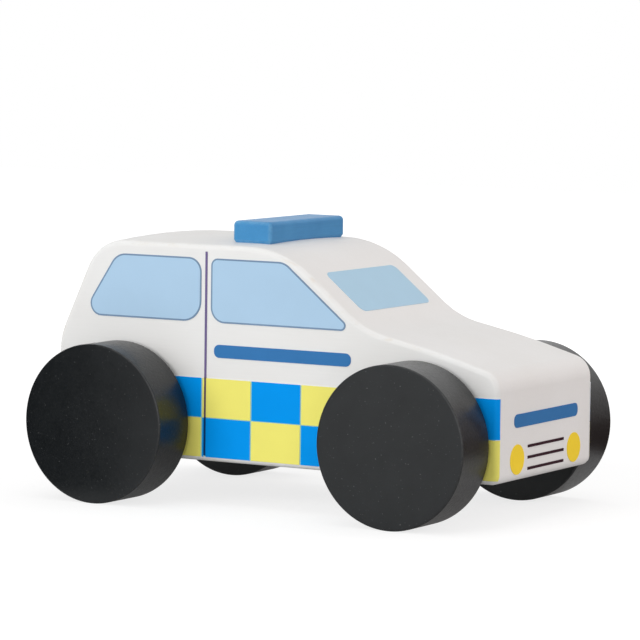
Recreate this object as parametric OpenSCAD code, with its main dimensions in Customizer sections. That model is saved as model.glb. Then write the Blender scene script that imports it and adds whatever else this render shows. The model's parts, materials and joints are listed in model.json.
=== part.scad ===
// Wooden toy police car: a shaped block on two rolling axles, with a light bar and a printed livery
// Millimetres: +X is forwards, +Y is the car's left, +Z is up, and the floor is at z = 0

/* [Body block] */
// Length of the block, tail to nose
body_l = 139; // [128:1:160]
// Width of the block
body_w = 56; // [46:1:72]
// Height of the underside above the floor
underside_z = 12; // [9:0.5:14]
// Height of the roof's long edges above the floor
roof_z = 71.7; // [69.5:0.1:84]
// Rise of the roof's middle above its long edges
roof_crown = 1; // [0.2:0.1:1.6]
// Height of the bonnet's front edge above the floor
nose_z = 41; // [38.6:0.2:44]
// Length of the bonnet, from the nose to the foot of the windscreen
bonnet_l = 41; // [36:0.5:46]
// Height of the windscreen's foot above the floor
cowl_z = 51; // [49:0.5:54]
// Rise of the bonnet's middle above a straight line
bonnet_crown = 0.8; // [0.2:0.1:1.5]
// Slope of the windscreen, in degrees from level
screen_slope = 39; // [36:1:48]
// Slope of the tailgate, in degrees from level
tail_slope = 65.5; // [60:0.5:74]
// Height where the tail starts to lean forwards
waist_z = 43.8; // [41:0.2:46]
// Radius where the windscreen runs into the roof
screen_top_r = 32; // [20:1:36]
// Radius where the roof turns down into the tailgate
roof_back_r = 13; // [8:0.5:16]
// Radius in the hollow at the foot of the windscreen
cowl_r = 26; // [12:1:30]
// Radius of the bonnet's crown
bonnet_r = 200; // [100:10:240]
// Radius of the bonnet's front edge
nose_r = 6; // [4:0.5:9]
// Radius where the tail starts to lean
waist_r = 20; // [8:1:26]
// Radius of the bottom edges at nose and tail
sill_r = 2.5; // [2:0.1:4]
// Radius of the long edges along both sides
edge_r = 1.6; // [0.8:0.1:2]

/* [Wheels and axles] */
// Diameter of a wheel
wheel_d = 44; // [38:1:52]
// Width of a wheel
wheel_w = 15; // [12:0.5:20]
// Rounding of a wheel's rims
wheel_edge_r = 0.5; // [0.4:0.1:2]
// Distance from the nose back to the front axle
front_overhang = 23.8; // [22:0.2:30]
// Distance from the tail forwards to the rear axle
rear_overhang = 22.2; // [20:0.2:30]
// Gap between the block's side and a wheel
wheel_gap = 1.5; // [0.6:0.1:3]
// Diameter of an axle
axle_d = 8; // [6:0.5:10]
// Bevel at the ends of an axle
axle_chamfer = 0.8; // [0.3:0.1:1.5]
// Depth of the blind hole in a wheel
socket_depth = 10; // [7:0.5:10]

/* [Light bar] */
// Length of the bar, across the car
bar_l = 41; // [32:1:46]
// Width of the bar, along the car
bar_w = 12.3; // [9:0.1:16]
// Height of the bar above the roof's long edges
bar_h = 6.4; // [5.6:0.1:10]
// Rounding of the bar's edges
bar_r = 1.3; // [1:0.1:1.8]
// Bevel of the bar's foot
bar_foot_bevel = 0.8; // [0.2:0.1:0.9]
// Height of that bevel above the roof's long edges
bar_foot_h = 1.2; // [0.6:0.1:1.8]
// Distance from the nose back to the bar's middle
bar_setback = 80.8; // [80:0.5:96]
// Diameter of a dowel under the bar
dowel_d = 5; // [4:0.5:6]
// Bevel at the ends of a dowel
dowel_chamfer = 0.5; // [0.2:0.1:1]
// Distance between the two dowels
dowel_spacing = 20; // [14:1:22]
// Reach of a dowel above the roof's long edges
dowel_bar_depth = 4; // [3:0.2:4.4]
// Reach of a dowel below the roof's long edges
dowel_roof_depth = 10; // [6:0.5:16]

/* [Livery] */
// Thickness of a printed film
film_t = 0.15; // [0.1:0.05:0.3]
// Distance of the door line behind the block's middle
door_setback = 21; // [16:0.5:24]
// Width of the door line
door_line_w = 0.65; // [0.4:0.05:1]
// Length of one check, with its gap
check_pitch = 15.7; // [12:0.1:18]
// Height of one row of checks, with its gap
check_rise = 11; // [9:0.1:12]
// Gap between two checks in a row
check_gap = 0.35; // [0.2:0.05:1.2]
// Gap between the two rows of checks
check_row_gap = 0.2; // [0.15:0.05:1.2]
// Distance of the door line in front of a check's edge
check_door_gap = 1; // [0.8:0.1:3]
// Height of the checks above the underside
check_lift = 1.2; // [0.8:0.1:2]
// Distance of the window heads below the roof
window_head_drop = 3.9; // [3.5:0.1:6]
// Distance of the window sills below the windscreen's foot
window_sill_drop = 0.4; // [0:0.1:2]
// Gap between the door line and a side window
window_gap = 1.8; // [1:0.1:3]
// Lean of the rear side window's back edge, in degrees from level
window_lean = 57; // [54:1:64]
// Distance of the rear side window behind the tail's upright face
rear_window_inset = 8.3; // [7:0.1:10]
// Distance of the front side window behind the foot of the windscreen
front_window_inset = 3.6; // [3:0.1:6]
// Radii of the rear side window's corners, anticlockwise from its lower back corner
rear_window_radii = [3.2, 5.5, 3.8, 5]; // [1:0.1:6]
// Radii of the front side window's corners, anticlockwise from its lower back corner
front_window_radii = [4, 1.2, 5, 1.8]; // [1:0.1:6]
// Width of the line round a side window
outline_w = 0.45; // [0.3:0.05:0.8]
// Width of the windscreen and the tailgate window
screen_w = 38.5; // [28:0.5:42]
// Distance of the windscreen from the ends of its flat slope
windscreen_margin = 0.2; // [0:0.1:2]
// Distance of the tailgate window from the ends of its flat slope
tailgate_margin = 1.6; // [0:0.1:3]
// Radius of the windscreen's and the tailgate window's corners
screen_corner_r = 2; // [0.5:0.1:4]
// Gap between the door line and the side stripe
stripe_gap = 2.4; // [1:0.1:6]
// Height of the side stripe's middle above the floor
stripe_z = 42.6; // [40:0.2:45]
// Length of the side stripe
stripe_l = 43; // [30:1:44]
// Height of a stripe
stripe_h = 3.6; // [2:0.2:6]
// Length of the stripe on the nose
nose_stripe_l = 38; // [24:1:40]
// Height of the nose stripe's middle above the floor
nose_stripe_z = 28.3; // [27:0.1:30]
// Diameter of a lamp disc
lamp_d = 8.1; // [6:0.1:9]
// Distance between two lamps
lamp_spacing = 34; // [32:0.5:36]
// Height of the lamps above the underside
lamp_lift = 6; // [5.6:0.1:8]
// Length of a grille line
grille_l = 21.5; // [14:0.5:23]
// Distance between grille lines
grille_pitch = 3; // [2:0.1:3.2]
// Height of a grille line
grille_line_h = 0.75; // [0.4:0.05:1.2]

/* [Fits] */
// Radial clearance of an axle in the block's bore
axle_play = 0.25; // [0.15:0.05:0.5]
// Radial room for glue round a glued peg
glue_gap = 0.05; // [0.02:0.01:0.1]
// Room past the end of a glued peg
peg_end_gap = 0.2; // [0.1:0.05:0.5]

/* [Hidden] */

// Sides of the car, as the sign of y
RIGHT = -1;
LEFT = 1;

// Fineness of arcs: the largest gap between an arc and its chord
chord_gap = 0.01;
edge_steps = 6;
crown_steps = 7;
round_fn = 96;
hull_fn = 32;
cut = 1;
// Share of a step that an arc may be over a whole number of steps, so that like arcs get like steps
slack = 0.001;

// Places along the block
nose_x = body_l / 2;
tail_x = -body_l / 2;
side_y = body_w / 2;
crown_y = side_y - edge_r;
cowl_x = nose_x - bonnet_l;
screen_top_x = cowl_x - (roof_z - cowl_z) / tan(screen_slope);
roof_back_x = tail_x + (roof_z - waist_z) / tan(tail_slope);
bonnet_mid_x = (nose_x + cowl_x) / 2;
bonnet_mid_z = (nose_z + cowl_z) / 2 + bonnet_crown;
front_axle_x = nose_x - front_overhang;
rear_axle_x = tail_x + rear_overhang;
bar_x = nose_x - bar_setback;
door_x = -door_setback;

// Rise of the crowned roof at a place across its width
function roof_rise(y) = roof_crown * (1 - pow(y / crown_y, 2));

// Flat stretches of the front and back slopes at the sides of their prints, measured up from their feet
screen_top_z = roof_z + roof_rise(screen_w / 2);
bonnet_slope = atan2(cowl_z - bonnet_mid_z, bonnet_mid_x - cowl_x);
screen_low = cowl_r * tan((screen_slope - bonnet_slope) / 2);
screen_high = (screen_top_z - cowl_z) / sin(screen_slope) - screen_top_r * tan(screen_slope / 2);
tailgate_low = waist_r * tan((90 - tail_slope) / 2);
tailgate_high = (screen_top_z - waist_z) / sin(tail_slope) - roof_back_r * tan(tail_slope / 2);

// Wheels and axles
wheel_r = wheel_d / 2;
wheel_y = side_y + wheel_gap;
axle_l = 2 * (wheel_y + socket_depth - peg_end_gap);
axle_bore_d = axle_d + 2 * axle_play;
axle_places = [front_axle_x, rear_axle_x];

// Corners of the block's side view with its roof raised: x, z and radius, anticlockwise from the tail's foot
function block_corners(rise) = [
    [tail_x, underside_z, sill_r],
    [nose_x, underside_z, sill_r],
    [nose_x, nose_z, nose_r],
    [bonnet_mid_x, bonnet_mid_z, bonnet_r],
    [cowl_x, cowl_z, cowl_r],
    [screen_top_x - rise / tan(screen_slope), roof_z + rise, screen_top_r],
    [roof_back_x + rise / tan(tail_slope), roof_z + rise, roof_back_r],
    [tail_x, waist_z, waist_r]
];

// Corners of the side windows
sill_z = cowl_z - window_sill_drop;
head_z = roof_z - window_head_drop;
rear_window_x = tail_x + rear_window_inset;
front_window_x = cowl_x - front_window_inset;
rear_window_corners = [
    [rear_window_x, sill_z, rear_window_radii[0]],
    [door_x - window_gap, sill_z, rear_window_radii[1]],
    [door_x - window_gap, head_z, rear_window_radii[2]],
    [rear_window_x + (head_z - sill_z) / tan(window_lean), head_z, rear_window_radii[3]]
];
front_window_corners = [
    [door_x + window_gap, sill_z, front_window_radii[0]],
    [front_window_x, sill_z, front_window_radii[1]],
    [front_window_x - (head_z - sill_z) / tan(screen_slope), head_z, front_window_radii[2]],
    [door_x + window_gap, head_z, front_window_radii[3]]
];

// Checks: rows counted from the bottom, columns from the one in front of the door line
check_z = underside_z + check_lift;
check_x = door_x - check_door_gap;
check_first = -ceil((check_x - tail_x) / check_pitch);
check_last = ceil((nose_x - check_x) / check_pitch) - 1;
check_wrap = edge_r * 0.8;
stripe_start_x = door_x + door_line_w / 2 + stripe_gap;
lamp_z = underside_z + lamp_lift;

// Outline helpers: every corner is [x, y, radius], anticlockwise
function unit(v) = v / norm(v);
function turned(v, a) = [v.x * cos(a) - v.y * sin(a), v.x * sin(a) + v.y * cos(a)];
function flat(p) = [p.x, p.y];
function turn_angle(d1, d2) = atan2(d1.x * d2.y - d1.y * d2.x, d1 * d2);
function arc_steps(r, a) = r > 0 ? max(1, ceil(abs(a) / (2 * acos(1 - chord_gap / r)) - slack)) : 0;

// Points of one rounded corner b between a and c, moved outwards by grow
function corner_arc(a, b, c, grow) =
    let (
        d1 = unit(flat(b) - flat(a)),
        d2 = unit(flat(c) - flat(b)),
        turn = turn_angle(d1, d2),
        bend = sign(turn),
        inward = [-d1.y, d1.x],
        start = flat(b) - d1 * b[2] * tan(abs(turn) / 2),
        middle = start + bend * b[2] * inward,
        steps = arc_steps(b[2], turn)
    )
    [for (k = [0 : steps])
        middle + (bend * b[2] + grow) * turned(-inward, steps == 0 ? 0 : turn * k / steps)];

// Points of a closed outline with rounded corners
function outline(corners, grow = 0) =
    let (n = len(corners))
    [for (i = [0 : n - 1])
        for (p = corner_arc(corners[(i + n - 1) % n], corners[i], corners[(i + 1) % n], grow)) p];

function box_corners(x, y, w, h, r) =
    [for (s = [[-1, -1], [1, -1], [1, 1], [-1, 1]]) [x + s.x * w / 2, y + s.y * h / 2, r]];

// The block with rounded long edges and a crowned roof, as rings of its side view across the width
// A ring is its y, the growth of its outline and the rise of its roof
module block_form(grow = 0) {
    reach = edge_r + grow;
    turns = [for (j = [0 : edge_steps]) 90 * j / edge_steps];
    left_rings = [for (a = turns) [crown_y + reach * sin(a), reach * cos(a) - edge_r, 0]];
    right_rings = [for (j = [edge_steps : -1 : 0]) [-left_rings[j][0], left_rings[j][1], 0]];
    shares = [for (k = [1 : crown_steps - 1]) 2 * k / crown_steps - 1];
    crown_rings = [for (s = shares) [crown_y * s, grow, roof_rise(crown_y * s)]];
    rings = concat(right_rings, crown_rings, left_rings);
    loops = [for (ring = rings) outline(block_corners(ring[2]), ring[1])];
    n = len(loops[0]);
    last = len(rings) - 1;
    points = [for (m = [0 : last]) for (p = loops[m]) [p.x, rings[m][0], p.y]];
    walls = [for (m = [0 : last - 1]) for (i = [0 : n - 1])
        [m * n + i, m * n + (i + 1) % n, (m + 1) * n + (i + 1) % n, (m + 1) * n + i]];
    right_cap = [for (i = [n - 1 : -1 : 0]) i];
    left_cap = [for (i = [0 : n - 1]) last * n + i];
    polyhedron(points, concat(walls, [right_cap, left_cap]), convexity = 6);
}

// Round parts
module across(x, z) {
    translate([x, 0, z]) rotate([90, 0, 0]) children();
}

module peg(d, l, chamfer) {
    rotate_extrude($fn = round_fn) polygon([
        [0, -l / 2], [d / 2 - chamfer, -l / 2], [d / 2, -l / 2 + chamfer],
        [d / 2, l / 2 - chamfer], [d / 2 - chamfer, l / 2], [0, l / 2]
    ]);
}

module wheel_form() {
    socket_r = axle_d / 2 + glue_gap;
    rotate_extrude($fn = round_fn) polygon(outline([
        [socket_r, 0, 0], [wheel_r, 0, wheel_edge_r], [wheel_r, wheel_w, wheel_edge_r],
        [0, wheel_w, 0], [0, socket_depth, 0], [socket_r, socket_depth, 0]
    ]));
}

module wheel(x, side) {
    color([0.14, 0.14, 0.14])
        mirror([0, side == LEFT ? 1 : 0, 0])
            translate([x, -wheel_y, wheel_r]) rotate([90, 0, 0]) wheel_form();
}

module axle(x) {
    color([0.78, 0.62, 0.42]) across(x, wheel_r) peg(axle_d, axle_l, axle_chamfer);
}

module at_dowels() {
    for (end = [-1, 1]) translate([bar_x, end * dowel_spacing / 2, roof_z]) children();
}

module dowel_hole() {
    hole_d = dowel_d + 2 * glue_gap;
    hole_h = dowel_roof_depth + dowel_bar_depth + 2 * peg_end_gap;
    translate([0, 0, -dowel_roof_depth - peg_end_gap]) cylinder(d = hole_d, h = hole_h, $fn = round_fn);
}

// Places for printed films, each lying on the block
module on_side(side) {
    mirror([0, side == LEFT ? 1 : 0, 0])
        translate([0, -side_y, 0]) rotate([90, 0, 0]) linear_extrude(film_t) children();
}

module on_nose() {
    translate([nose_x, 0, 0]) rotate([90, 0, 90]) linear_extrude(film_t) children();
}

module on_tail() {
    mirror([1, 0, 0]) on_nose() children();
}

module on_slope(x, z, slope) {
    translate([x, 0, z]) rotate([0, slope - 90, 0]) rotate([90, 0, 90]) linear_extrude(film_t) children();
}

// A film that follows the block's rounded edges, cut to a flat shape seen from the side
module wrapped_on_side(side) {
    mirror([0, side == LEFT ? 1 : 0, 0])
        difference() {
            intersection() {
                block_form(film_t);
                translate([0, -side_y + check_wrap, 0]) rotate([90, 0, 0])
                    linear_extrude(check_wrap + cut) children();
            }
            block_form();
        }
}

module window_fill(side, corners) {
    color([0.68, 0.80, 0.91]) on_side(side) polygon(outline(corners, -outline_w / 2));
}

module window_line(corners) {
    difference() {
        polygon(outline(corners, outline_w / 2));
        polygon(outline(corners, -outline_w / 2));
    }
}

module window_outlines(side) {
    color([0.43, 0.55, 0.67]) on_side(side) {
        window_line(rear_window_corners);
        window_line(front_window_corners);
    }
}

module door_line_shape(low_z) {
    high_z = roof_z - window_head_drop / 2;
    translate([door_x - door_line_w / 2, low_z]) square([door_line_w, high_z - low_z]);
}

module door_line(side) {
    color([0.49, 0.44, 0.59]) on_side(side) door_line_shape(underside_z + edge_r);
}

// The checks of one colour: blue where column and row add up to an even number
module checks(side, odd) {
    wrapped_on_side(side)
        difference() {
            for (column = [check_first : check_last], row = [0, 1])
                if (abs(column + row) % 2 == odd)
                    translate([check_x + column * check_pitch + check_gap / 2, check_z + row * check_rise])
                        square([check_pitch - check_gap, check_rise - check_row_gap]);
            door_line_shape(0);
            for (x = axle_places) translate([x, wheel_r]) circle(d = axle_bore_d, $fn = round_fn);
        }
}

module blue_checks(side) {
    color([0.0, 0.57, 0.91]) checks(side, 0);
}

module yellow_checks(side) {
    color([0.91, 0.88, 0.47]) checks(side, 1);
}

module stripe_shape(x, z, l) {
    polygon(outline(box_corners(x, z, l, stripe_h, stripe_h * 0.45)));
}

module side_stripe(side) {
    color([0.20, 0.40, 0.66]) on_side(side) stripe_shape(stripe_start_x + stripe_l / 2, stripe_z, stripe_l);
}

module screen_shape(low, high) {
    polygon(outline(box_corners(0, (low + high) / 2, screen_w, high - low, screen_corner_r)));
}

module lamp_pair() {
    for (end = [-1, 1]) translate([end * lamp_spacing / 2, lamp_z]) circle(d = lamp_d, $fn = round_fn);
}

// Sub-parts
module body_block() {
    color([0.90, 0.89, 0.87])
        difference() {
            block_form();
            for (x = axle_places) across(x, wheel_r)
                cylinder(d = axle_bore_d, h = body_w + 2 * cut, center = true, $fn = round_fn);
            at_dowels() dowel_hole();
        }
}

// The light bar, hollowed below to sit on the crowned roof
module light_bar() {
    x = bar_w / 2 - bar_r;
    y = bar_l / 2 - bar_r;
    color([0.27, 0.52, 0.73])
        difference() {
            translate([bar_x, 0, roof_z]) hull()
                for (sx = [-x, x], sy = [-y, y]) translate([sx, sy, 0]) {
                    translate([0, 0, bar_h - bar_r]) sphere(bar_r, $fn = hull_fn);
                    cylinder(r1 = bar_r - bar_foot_bevel, r2 = bar_r, h = bar_foot_h, $fn = hull_fn);
                }
            block_form();
            at_dowels() dowel_hole();
        }
}

module light_bar_dowels() {
    dowel_l = dowel_bar_depth + dowel_roof_depth;
    dowel_middle = (dowel_bar_depth - dowel_roof_depth) / 2;
    color([0.80, 0.64, 0.44])
        at_dowels() translate([0, 0, dowel_middle]) peg(dowel_d, dowel_l, dowel_chamfer);
}

module front_axle() { axle(front_axle_x); }
module rear_axle() { axle(rear_axle_x); }
module front_right_wheel() { wheel(front_axle_x, RIGHT); }
module front_left_wheel() { wheel(front_axle_x, LEFT); }
module rear_right_wheel() { wheel(rear_axle_x, RIGHT); }
module rear_left_wheel() { wheel(rear_axle_x, LEFT); }

module windscreen_print() {
    color([0.68, 0.80, 0.89])
        on_slope(cowl_x, cowl_z, screen_slope)
            screen_shape(screen_low + windscreen_margin, screen_high - windscreen_margin);
}

module tailgate_window_print() {
    color([0.68, 0.80, 0.89])
        mirror([1, 0, 0]) on_slope(nose_x, waist_z, tail_slope)
            screen_shape(tailgate_low + tailgate_margin, tailgate_high - tailgate_margin);
}

module headlamp_prints() {
    color([0.90, 0.77, 0.22]) on_nose() lamp_pair();
}

module tail_lamp_prints() {
    color([0.75, 0.13, 0.12]) on_tail() lamp_pair();
}

module grille_print() {
    color([0.22, 0.14, 0.17])
        on_nose()
            for (line = [-1 : 1])
                translate([-grille_l / 2, lamp_z + line * grille_pitch - grille_line_h / 2])
                    square([grille_l, grille_line_h]);
}

module nose_stripe_print() {
    color([0.20, 0.40, 0.66]) on_nose() stripe_shape(0, nose_stripe_z, nose_stripe_l);
}

module right_front_window_print() { window_fill(RIGHT, front_window_corners); }
module right_rear_window_print() { window_fill(RIGHT, rear_window_corners); }
module right_window_outline_print() { window_outlines(RIGHT); }
module right_door_line_print() { door_line(RIGHT); }
module right_blue_checks_print() { blue_checks(RIGHT); }
module right_yellow_checks_print() { yellow_checks(RIGHT); }
module right_stripe_print() { side_stripe(RIGHT); }
module left_front_window_print() { window_fill(LEFT, front_window_corners); }
module left_rear_window_print() { window_fill(LEFT, rear_window_corners); }
module left_window_outline_print() { window_outlines(LEFT); }
module left_door_line_print() { door_line(LEFT); }
module left_blue_checks_print() { blue_checks(LEFT); }
module left_yellow_checks_print() { yellow_checks(LEFT); }
module left_stripe_print() { side_stripe(LEFT); }

body_block();
light_bar();
light_bar_dowels();
front_axle();
rear_axle();
front_right_wheel();
front_left_wheel();
rear_right_wheel();
rear_left_wheel();
windscreen_print();
tailgate_window_print();
headlamp_prints();
grille_print();
nose_stripe_print();
tail_lamp_prints();
right_front_window_print();
right_rear_window_print();
right_window_outline_print();
right_door_line_print();
right_blue_checks_print();
right_yellow_checks_print();
right_stripe_print();
left_front_window_print();
left_rear_window_print();
left_window_outline_print();
left_door_line_print();
left_blue_checks_print();
left_yellow_checks_print();
left_stripe_print();
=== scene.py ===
"""Looks of a wooden toy police car: paints, printed inks, bare wood, soft studio light and the camera."""

import json
import math

import bpy
from mathutils import Matrix, Vector

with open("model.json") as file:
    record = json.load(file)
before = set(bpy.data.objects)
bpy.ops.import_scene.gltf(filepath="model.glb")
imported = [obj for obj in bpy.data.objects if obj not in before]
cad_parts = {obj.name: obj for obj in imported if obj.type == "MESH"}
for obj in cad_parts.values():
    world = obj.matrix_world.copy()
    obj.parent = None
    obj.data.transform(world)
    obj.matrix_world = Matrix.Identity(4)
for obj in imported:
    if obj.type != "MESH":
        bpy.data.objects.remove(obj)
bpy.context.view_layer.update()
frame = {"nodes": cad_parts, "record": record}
nodes = frame["nodes"]
scene = bpy.context.scene

MM = 0.001


# Colours and shader nodes

def srgb(red, green, blue):
    """A colour as it is seen, 0 to 255, as the linear one that a shader takes."""
    shares = [value / 255 for value in (red, green, blue)]
    return tuple(s / 12.92 if s <= 0.04045 else ((s + 0.055) / 1.055) ** 2.4 for s in shares) + (1.0,)


def plug(tree, socket, value):
    """Links a socket to another one, or sets its value."""
    if isinstance(value, bpy.types.NodeSocket):
        tree.links.new(value, socket)
    else:
        socket.default_value = value


def put(tree, kind, inputs, **settings):
    """Adds a node with its settings and inputs, and returns it."""
    node = tree.nodes.new(kind)
    for name, value in settings.items():
        setattr(node, name, value)
    for name, value in inputs.items():
        plug(tree, node.inputs[name], value)
    return node


def math_node(tree, operation, a, b=0.0):
    return put(tree, "ShaderNodeMath", {0: a, 1: b}, operation=operation).outputs[0]


def ranged(tree, value, low, high, to_low=0.0, to_high=1.0):
    """Maps low to high onto to_low to to_high, and holds it there."""
    inputs = {"Value": value, "From Min": low, "From Max": high, "To Min": to_low, "To Max": to_high}
    return put(tree, "ShaderNodeMapRange", inputs).outputs[0]


def mixed(tree, share, a, b, blend="MIX"):
    node = put(tree, "ShaderNodeMix", {0: share, 6: a, 7: b}, data_type="RGBA", blend_type=blend)
    return node.outputs[2]


def shaded(tree, colour, level):
    """Makes a colour lighter or darker by a grey level around 1."""
    grey = put(tree, "ShaderNodeCombineColor", {"Red": level, "Green": level, "Blue": level}).outputs[0]
    return mixed(tree, 1.0, colour, grey, "MULTIPLY")


def noise(tree, size, stretch=(1, 1, 1), detail=2.0, rough=0.5):
    """Noise with spots of about size mm, drawn out by stretch along x, y and z."""
    place = put(tree, "ShaderNodeTexCoord", {}).outputs["Object"]
    scale = [1 / (size * MM * share) for share in stretch]
    spread = put(tree, "ShaderNodeMapping", {"Vector": place, "Scale": scale}).outputs[0]
    inputs = {"Vector": spread, "Scale": 1.0, "Detail": detail, "Roughness": rough}
    return put(tree, "ShaderNodeTexNoise", inputs).outputs[0]


def bumped(tree, height, depth, under=None):
    """Surface relief of depth mm, on top of another relief."""
    inputs = {"Height": height, "Distance": depth * MM, "Strength": 1.0}
    if under is not None:
        inputs["Normal"] = under
    return put(tree, "ShaderNodeBump", inputs).outputs[0]


def normal_part(tree, axis):
    """The size of the surface normal along x, y or z."""
    normal = put(tree, "ShaderNodeTexCoord", {}).outputs["Normal"]
    part = put(tree, "ShaderNodeSeparateXYZ", {"Vector": normal}).outputs[axis]
    return math_node(tree, "ABSOLUTE", part)


def facing_out(tree):
    """The share of the surface normal that points sideways, away from the car's middle."""
    coords = put(tree, "ShaderNodeTexCoord", {}).outputs
    place = put(tree, "ShaderNodeSeparateXYZ", {"Vector": coords["Object"]}).outputs["Y"]
    part = put(tree, "ShaderNodeSeparateXYZ", {"Vector": coords["Normal"]}).outputs["Y"]
    return math_node(tree, "MULTIPLY", part, math_node(tree, "SIGN", place))


def height_mm(tree):
    """Height above the floor, in mm."""
    place = put(tree, "ShaderNodeTexCoord", {}).outputs["Object"]
    up = put(tree, "ShaderNodeSeparateXYZ", {"Vector": place}).outputs["Z"]
    return math_node(tree, "DIVIDE", up, MM)


def rounded_edge(tree):
    """1 in the middle of the rounding between a side and the faces across it, 0 on the faces."""
    side = normal_part(tree, "Y")
    square = math_node(tree, "MULTIPLY", side, side)
    rest = math_node(tree, "SUBTRACT", 1.0, square)
    return math_node(tree, "MULTIPLY", math_node(tree, "MULTIPLY", square, rest), 4.0)


def new_material(name):
    material = bpy.data.materials.new(name)
    material.use_nodes = True
    return material, material.node_tree, material.node_tree.nodes["Principled BSDF"]


# Materials

# Heights in mm between which the checks' two inks run together in their gaps, and the colour there
CHECKS_LOW = 13.3
CHECKS_HIGH = 34.9
GAP_GREEN = (160, 208, 186)


def white_paint():
    """Satin paint on a sanded wooden block: faint grain, rubbed edges, and run ink in the checks' gaps."""
    material, tree, shader = new_material("white_paint_coat")
    cloud = noise(tree, 30, detail=3)
    grain = noise(tree, 0.5, (30, 1, 1), detail=4, rough=0.6)
    peel = noise(tree, 0.9, detail=1)
    patch = noise(tree, 2.2, (2.5, 1, 1), detail=4, rough=0.65)
    tone = mixed(tree, ranged(tree, cloud, 0.3, 0.7), srgb(230, 229, 227), srgb(234, 234, 233))
    tone = shaded(tree, tone, ranged(tree, grain, 0.3, 0.7, 0.988, 1.008))
    edge_tint = math_node(tree, "MULTIPLY", rounded_edge(tree), ranged(tree, patch, 0.52, 0.72))
    tone = mixed(tree, math_node(tree, "MULTIPLY", edge_tint, 0.35), tone, srgb(214, 200, 178))
    height = height_mm(tree)
    above = math_node(tree, "GREATER_THAN", height, CHECKS_LOW)
    below = math_node(tree, "LESS_THAN", height, CHECKS_HIGH)
    among_checks = math_node(tree, "MULTIPLY", above, below)
    run = math_node(tree, "MULTIPLY", among_checks, ranged(tree, facing_out(tree), 0.9, 0.95))
    tone = mixed(tree, run, tone, srgb(*GAP_GREEN))
    plug(tree, shader.inputs["Base Color"], tone)
    plug(tree, shader.inputs["Roughness"], ranged(tree, patch, 0.3, 0.7, 0.46, 0.56))
    shader.inputs["Specular IOR Level"].default_value = 0.25
    relief = bumped(tree, peel, 0.012, bumped(tree, grain, 0.010))
    plug(tree, shader.inputs["Normal"], relief)
    return material


def turning_rings(tree, count, sway):
    """Waves round a disc's axis, as a lathe leaves them, that sway a little."""
    box = put(tree, "ShaderNodeTexCoord", {}).outputs["Generated"]
    middle = (0.5, 0.5, 0.5)
    centred = put(tree, "ShaderNodeVectorMath", {0: box, 1: middle}, operation="SUBTRACT").outputs[0]
    flat = put(tree, "ShaderNodeVectorMath", {0: centred, 1: (1, 0, 1)}, operation="MULTIPLY").outputs[0]
    radius = put(tree, "ShaderNodeVectorMath", {0: flat}, operation="LENGTH").outputs["Value"]
    shift = math_node(tree, "MULTIPLY", noise(tree, 7, detail=3), sway)
    return math_node(tree, "SINE", math_node(tree, "ADD", math_node(tree, "MULTIPLY", radius, count), shift))


def black_paint():
    """Satin black paint on turned discs: pinholes, dust, faint turning rings, lighter rims, and a tread
    darkened as painted shade.
    """
    material, tree, shader = new_material("black_paint_coat")
    rings = turning_rings(tree, 220.0, 9.0)
    tread = ranged(tree, normal_part(tree, "Y"), 0.2, 0.6, 1.0, 0.0)
    cloud = noise(tree, 9, detail=4, rough=0.6)
    speck = noise(tree, 0.6, detail=1)
    pit = noise(tree, 0.9, detail=3, rough=0.6)
    grit = math_node(tree, "MULTIPLY", noise(tree, 0.7, (1, 1.6, 1), detail=3, rough=0.7), tread)
    tone = mixed(tree, ranged(tree, cloud, 0.3, 0.7), srgb(17, 20, 22), srgb(24, 27, 29))
    # Painted shade: the tread takes a darker black than the faces.
    tone = mixed(tree, tread, tone, srgb(14, 16, 17))
    dust = ranged(tree, speck, 0.71, 0.79)
    tone = mixed(tree, math_node(tree, "MULTIPLY", dust, 0.4), tone, srgb(112, 113, 113))
    # Lighter grey along the rims, in patches.
    edge_tint = math_node(tree, "MULTIPLY", rounded_edge(tree), ranged(tree, pit, 0.45, 0.7))
    tone = mixed(tree, math_node(tree, "MULTIPLY", edge_tint, 0.4), tone, srgb(70, 70, 68))
    plug(tree, shader.inputs["Base Color"], tone)
    plug(tree, shader.inputs["Roughness"], ranged(tree, pit, 0.3, 0.7, 0.28, 0.38))
    shader.inputs["Specular IOR Level"].default_value = 0.48
    relief = bumped(tree, grit, 0.07, bumped(tree, pit, 0.012, bumped(tree, rings, 0.0008)))
    plug(tree, shader.inputs["Normal"], relief)
    return material


def bar_paint():
    """Satin blue paint on a small sanded block, lighter along its rounded edges."""
    material, tree, shader = new_material("bar_blue_paint_coat")
    cloud = noise(tree, 8, detail=3)
    grain = noise(tree, 0.4, (1, 30, 1), detail=4, rough=0.6)
    patch = noise(tree, 1.2, (1, 2, 1), detail=4, rough=0.65)
    tone = mixed(tree, ranged(tree, cloud, 0.3, 0.7), srgb(58, 131, 184), srgb(66, 140, 192))
    tone = shaded(tree, tone, ranged(tree, grain, 0.3, 0.7, 0.95, 1.04))
    # Lighter blue along the rounded edges, in patches.
    edge_tint = math_node(tree, "MULTIPLY", rounded_edge(tree), ranged(tree, patch, 0.2, 0.6))
    tone = mixed(tree, math_node(tree, "MULTIPLY", edge_tint, 0.5), tone, srgb(118, 172, 210))
    plug(tree, shader.inputs["Base Color"], tone)
    plug(tree, shader.inputs["Roughness"], ranged(tree, patch, 0.3, 0.7, 0.34, 0.44))
    shader.inputs["Specular IOR Level"].default_value = 0.3
    plug(tree, shader.inputs["Normal"], bumped(tree, patch, 0.012, bumped(tree, grain, 0.012)))
    return material


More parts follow.
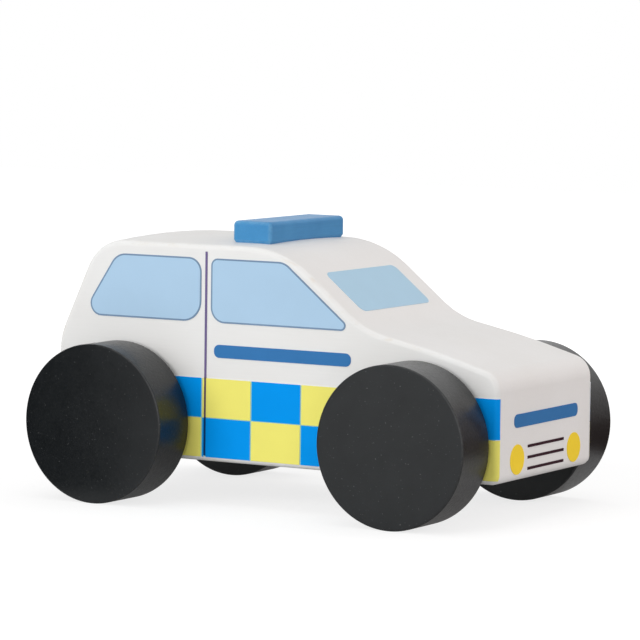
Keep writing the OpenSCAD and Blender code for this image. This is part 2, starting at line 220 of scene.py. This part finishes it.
def bare_wood(name, along):
    """Sanded beech dowel with its grain along an axis."""
    material, tree, shader = new_material(name)
    draw = [14.0 if axis == along else 1.0 for axis in "xyz"]
    band = noise(tree, 1.6, draw, detail=3, rough=0.55)
    fibre = noise(tree, 0.25, draw, detail=4, rough=0.6)
    fleck = noise(tree, 0.45, [0.4 * share for share in draw], detail=1)
    tone = mixed(tree, ranged(tree, band, 0.3, 0.7), srgb(221, 188, 146), srgb(196, 156, 110))
    tone = shaded(tree, tone, ranged(tree, fibre, 0.3, 0.7, 0.90, 1.06))
    tone = mixed(tree, ranged(tree, fleck, 0.66, 0.74, 0.0, 0.5), tone, srgb(140, 98, 62))
    plug(tree, shader.inputs["Base Color"], tone)
    plug(tree, shader.inputs["Roughness"], ranged(tree, fibre, 0.3, 0.7, 0.55, 0.70))
    plug(tree, shader.inputs["Normal"], bumped(tree, fibre, 0.02))
    return material


def ink(name, colour, spread, gloss, below=(), side_only=False):
    """Printed ink: uneven cover, a fine print grain and a thin lacquer.

    It may take other colours below some heights, and may leave the film white where it faces nose or tail.
    """
    material, tree, shader = new_material(name)
    tone = srgb(*colour)
    for top, lower_colour in below:
        share = ranged(tree, height_mm(tree), top - 0.1, top + 0.1, 1.0, 0.0)
        tone = mixed(tree, share, tone, srgb(*lower_colour))
    if side_only:
        tone = mixed(tree, ranged(tree, facing_out(tree), 0.36, 0.42), srgb(*FILM_WHITE), tone)
    cloud = noise(tree, 12, detail=3)
    dots = noise(tree, 0.22, detail=2, rough=0.6)
    peel = noise(tree, 1.1, detail=1)
    tone = shaded(tree, tone, ranged(tree, cloud, 0.3, 0.7, 1 - spread, 1 + spread))
    tone = shaded(tree, tone, ranged(tree, dots, 0.3, 0.7, 1 - spread, 1 + spread))
    plug(tree, shader.inputs["Base Color"], tone)
    plug(tree, shader.inputs["Roughness"], ranged(tree, dots, 0.3, 0.7, gloss - 0.04, gloss + 0.04))
    shader.inputs["Specular IOR Level"].default_value = 0.06
    plug(tree, shader.inputs["Normal"], bumped(tree, peel, 0.010))
    return material


FILM_WHITE = (232, 231, 230)
# The door line's colours over the yellow check and the blue one, with the heights of their tops in mm
DOOR_OVER_CHECKS = ((35.2, (95, 80, 95)), (24.2, (16, 52, 100)))
# Each ink's colour, the spread of its tone and its roughness
INKS = {
    "pale_blue_ink": ((173, 203, 228), 0.015, 0.40),
    "line_blue_ink": ((118, 144, 172), 0.04, 0.42),
    "check_blue_ink": ((0, 150, 239), 0.03, 0.40),
    "check_yellow_ink": ((242, 234, 118), 0.02, 0.40),
    "lamp_yellow_ink": ((253, 220, 60), 0.03, 0.40),
    "lamp_red_ink": ((196, 44, 40), 0.03, 0.40),
    "grille_ink": ((56, 30, 40), 0.05, 0.45),
    "door_line_ink": ((112, 98, 142), 0.05, 0.45),
    "stripe_ink": ((58, 118, 176), 0.03, 0.40),
}

INK_PLACES = {
    "check_blue_ink": {"side_only": True},
    "check_yellow_ink": {"side_only": True},
    "door_line_ink": {"below": DOOR_OVER_CHECKS},
}

finishes = {name: ink(name + "_print", *look, **INK_PLACES.get(name, {})) for name, look in INKS.items()}
# Painted light: the sloped windscreen and tailgate take a slightly greener copy of the pale blue window ink,
# for their look under the light.
screen_ink = ink("screen_blue_ink_print", (174, 207, 228), 0.015, 0.40)
finishes["white_paint"] = white_paint()
finishes["black_paint"] = black_paint()
finishes["bar_blue_paint"] = bar_paint()
finishes["bare_wood"] = bare_wood("beech_across", "y")
upright_wood = bare_wood("beech_upright", "z")


# Smooth shading for the solids, with creases kept

def smoothing_group(crease):
    """Joins split corners, and keeps edges sharp from an angle of crease degrees."""
    group = bpy.data.node_groups.new("smooth_shading", "GeometryNodeTree")
    group.interface.new_socket("Geometry", in_out="INPUT", socket_type="NodeSocketGeometry")
    group.interface.new_socket("Geometry", in_out="OUTPUT", socket_type="NodeSocketGeometry")
    start = group.nodes.new("NodeGroupInput").outputs[0]
    joined = put(group, "GeometryNodeMergeByDistance", {"Geometry": start, "Distance": 1e-6}).outputs[0]
    angle = group.nodes.new("GeometryNodeInputMeshEdgeAngle").outputs[0]
    limit = {0: angle, 1: math.radians(crease)}
    sharp = put(group, "FunctionNodeCompare", limit, operation="GREATER_THAN").outputs[0]
    inputs = {"Mesh": joined, "Remove Custom": True, "Edge Sharpness": sharp, "Face Sharpness": False}
    done = put(group, "GeometryNodeSetMeshNormal", inputs, mode="SHARPNESS").outputs[0]
    group.links.new(done, group.nodes.new("NodeGroupOutput").inputs[0])
    return group


smooth_shading = smoothing_group(30)
for part in frame["record"]["subparts"]:
    solid = nodes[part["node"]]
    solid.data.materials.clear()
    solid.data.materials.append(finishes[part["material_slot"]])
    solid.modifiers.new("smooth_shading", "NODES").node_group = smooth_shading
    solid.modifiers.new("even_normals", "WEIGHTED_NORMAL").keep_sharp = True
nodes["light_bar_dowels"].data.materials[0] = upright_wood
# The sloped screens take the greener copy of the window ink, as painted light.
for name in ("windscreen_print", "tailgate_window_print"):
    nodes[name].data.materials[0] = screen_ink


# Floor, light and world

FLOOR_SIZE = 3.0
SHADOW_REACH = (0.12, 0.45)
FLOOR_GREY = (0.55, 0.55, 0.55, 1.0)
FLOOR_GREY_IN_VIEW = (0.30, 0.30, 0.30, 1.0)
CAR_MIDDLE = Vector((0, 0, 0.04))


def seen_directly(tree, gloss):
    """1 for what the camera sees, gloss for what glossy paint shows, and 0 for other light."""
    rays = tree.nodes.new("ShaderNodeLightPath").outputs
    in_gloss = math_node(tree, "MULTIPLY", rays["Is Glossy Ray"], gloss)
    in_view = math_node(tree, "MAXIMUM", rays["Is Camera Ray"], rays["Is Transmission Ray"])
    return math_node(tree, "MAXIMUM", in_view, in_gloss)


def floor_material():
    """A white floor that shows the object's shadow and is plain white further out."""
    material, tree, shader = new_material("white_floor")
    in_view = tree.nodes.new("ShaderNodeLightPath").outputs["Is Camera Ray"]
    plug(tree, shader.inputs["Base Color"], mixed(tree, in_view, FLOOR_GREY, FLOOR_GREY_IN_VIEW))
    shader.inputs["Roughness"].default_value = 1.0
    shader.inputs["Specular IOR Level"].default_value = 0.0
    shader.inputs["Emission Color"].default_value = (1.0, 1.0, 1.0, 1.0)
    place = put(tree, "ShaderNodeNewGeometry", {}).outputs["Position"]
    away = put(tree, "ShaderNodeVectorMath", {0: place}, operation="LENGTH").outputs["Value"]
    lift = ranged(tree, away, *SHADOW_REACH, 0.77, 1.0)
    glow = math_node(tree, "MULTIPLY", seen_directly(tree, 0.22), lift)
    plug(tree, shader.inputs["Emission Strength"], glow)
    return material


def stage_sheet(name, corners, faces, material):
    """A flat sheet that belongs to the studio, not to the object."""
    mesh = bpy.data.meshes.new(name)
    mesh.from_pydata(corners, [], faces)
    mesh.materials.append(material)
    sheet = bpy.data.objects.new(name, mesh)
    scene.collection.objects.link(sheet)
    return sheet


def make_floor():
    half = FLOOR_SIZE / 2
    corners = [(-half, -half, 0), (half, -half, 0), (half, half, 0), (-half, half, 0)]
    stage_sheet("floor", corners, [(0, 1, 2, 3)], floor_material())


def make_flag(name, start, end, wide, colour):
    """A dark card that only shows as a reflection: it lies from start to end and then stands up."""
    material, _, shader = new_material(name)
    shader.inputs["Base Color"].default_value = colour
    shader.inputs["Roughness"].default_value = 1.0
    shader.inputs["Specular IOR Level"].default_value = 0.0
    low, high = 0.001, 0.6
    plan = [start, end, (end[0] + wide[0], end[1] + wide[1]), (start[0] + wide[0], start[1] + wide[1])]
    corners = [(x, y, low) for x, y in plan] + [(x, y, high) for x, y in plan[1:3]]
    card = stage_sheet(name, corners, [(0, 1, 2, 3), (1, 2, 5, 4)], material)
    card.visible_camera = False
    card.visible_diffuse = False
    card.visible_transmission = False
    card.visible_shadow = False


def make_world(ambient):
    """White where it is seen, and a lower even light on the object."""
    world = bpy.data.worlds.new("studio")
    world.use_nodes = True
    tree = world.node_tree
    background = tree.nodes["Background"]
    background.inputs["Color"].default_value = (1.0, 1.0, 1.0, 1.0)
    strength = ranged(tree, seen_directly(tree, 1.0), 0.0, 1.0, ambient, 1.0)
    plug(tree, background.inputs["Strength"], strength)
    scene.world = world


def make_softbox(name, place, size, power, colour=(1.0, 1.0, 1.0)):
    """A square soft light that faces the middle of the car."""
    light = bpy.data.lights.new(name, "AREA")
    light.shape = "SQUARE"
    light.size = size
    light.energy = power
    light.color = colour
    lamp = bpy.data.objects.new(name, light)
    aim = CAR_MIDDLE - Vector(place)
    lamp.matrix_world = Matrix.Translation(place) @ aim.to_track_quat("-Z", "Y").to_matrix().to_4x4()
    scene.collection.objects.link(lamp)
    return lamp


make_floor()
make_world(0.45)
key = make_softbox("key", (-0.48, -1.15, 0.25), 0.95, 11.0)
key.visible_glossy = False
make_softbox("side", (0.6, -1.1, 0.35), 1.0, 3.2)
make_softbox("top", (0.0, 0.0, 1.3), 1.2, 4.0)
make_softbox("front", (1.1, 0.7, 0.4), 0.9, 6.3, (1.0, 0.86, 0.83))
make_flag("left_flag", (-0.048, -0.06), (-0.10, -0.15), (-1.0, 0.3), (0.01, 0.01, 0.01, 1.0))
make_flag("right_flag", (0.0, 0.10), (0.45, 1.05), (1.0, -0.4), (0.09, 0.055, 0.05, 1.0))


# Camera, fitted to the photograph

CAMERA_EYE = (519.51, -907.85, 142.41)
CAMERA_RIGHT = (0.86685, 0.49840, 0.01317)
CAMERA_UP = (-0.05517, 0.06963, 0.99605)
CAMERA_BACK = (0.49551, -0.86415, 0.08786)
FOCAL_PIXELS = 3781
IMAGE_PIXELS = 640
SENSOR_WIDTH = 36.0

lens = bpy.data.cameras.new("camera")
lens.sensor_width = SENSOR_WIDTH
lens.lens = FOCAL_PIXELS / IMAGE_PIXELS * SENSOR_WIDTH
lens.clip_end = 20.0
camera = bpy.data.objects.new("camera", lens)
axes = Matrix((CAMERA_RIGHT, CAMERA_UP, CAMERA_BACK)).transposed().to_4x4()
camera.matrix_world = Matrix.Translation(Vector(CAMERA_EYE) * MM) @ axes
scene.collection.objects.link(camera)
scene.camera = camera

scene.view_settings.view_transform = "Standard"
